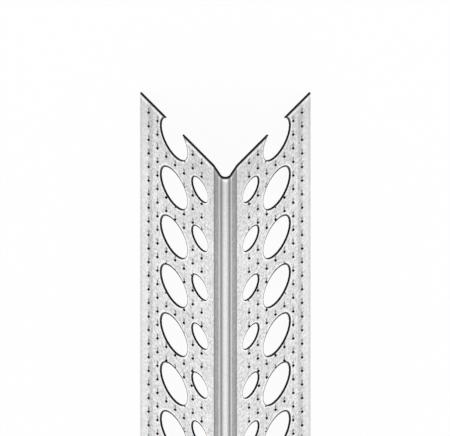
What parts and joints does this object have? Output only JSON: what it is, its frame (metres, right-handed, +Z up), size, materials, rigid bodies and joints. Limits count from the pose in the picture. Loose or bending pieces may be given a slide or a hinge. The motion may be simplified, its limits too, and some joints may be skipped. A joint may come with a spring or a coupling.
{
  "type": "drywall corner bead",
  "caption": "Perforated galvanised steel angle with a rounded nose and punched, dimpled flanges, fixed over an outside wall corner to be plastered.",
  "frame": {"origin": "on the floor under the middle of the bead's length, halfway between its flange edges", "axes": "+Y along the length, away from the end that the punching starts from; +Z up through the nose; +X to the right-hand flange"},
  "size_m": [0.037, 2.438, 0.0264],
  "materials": {
    "galvanised_steel": "matt zinc coating, finely mottled, with dark bare cut edges"
  },
  "bodies": {
    "root": {"corner_bead": "galvanised_steel"}
  },
  "joints": []
}
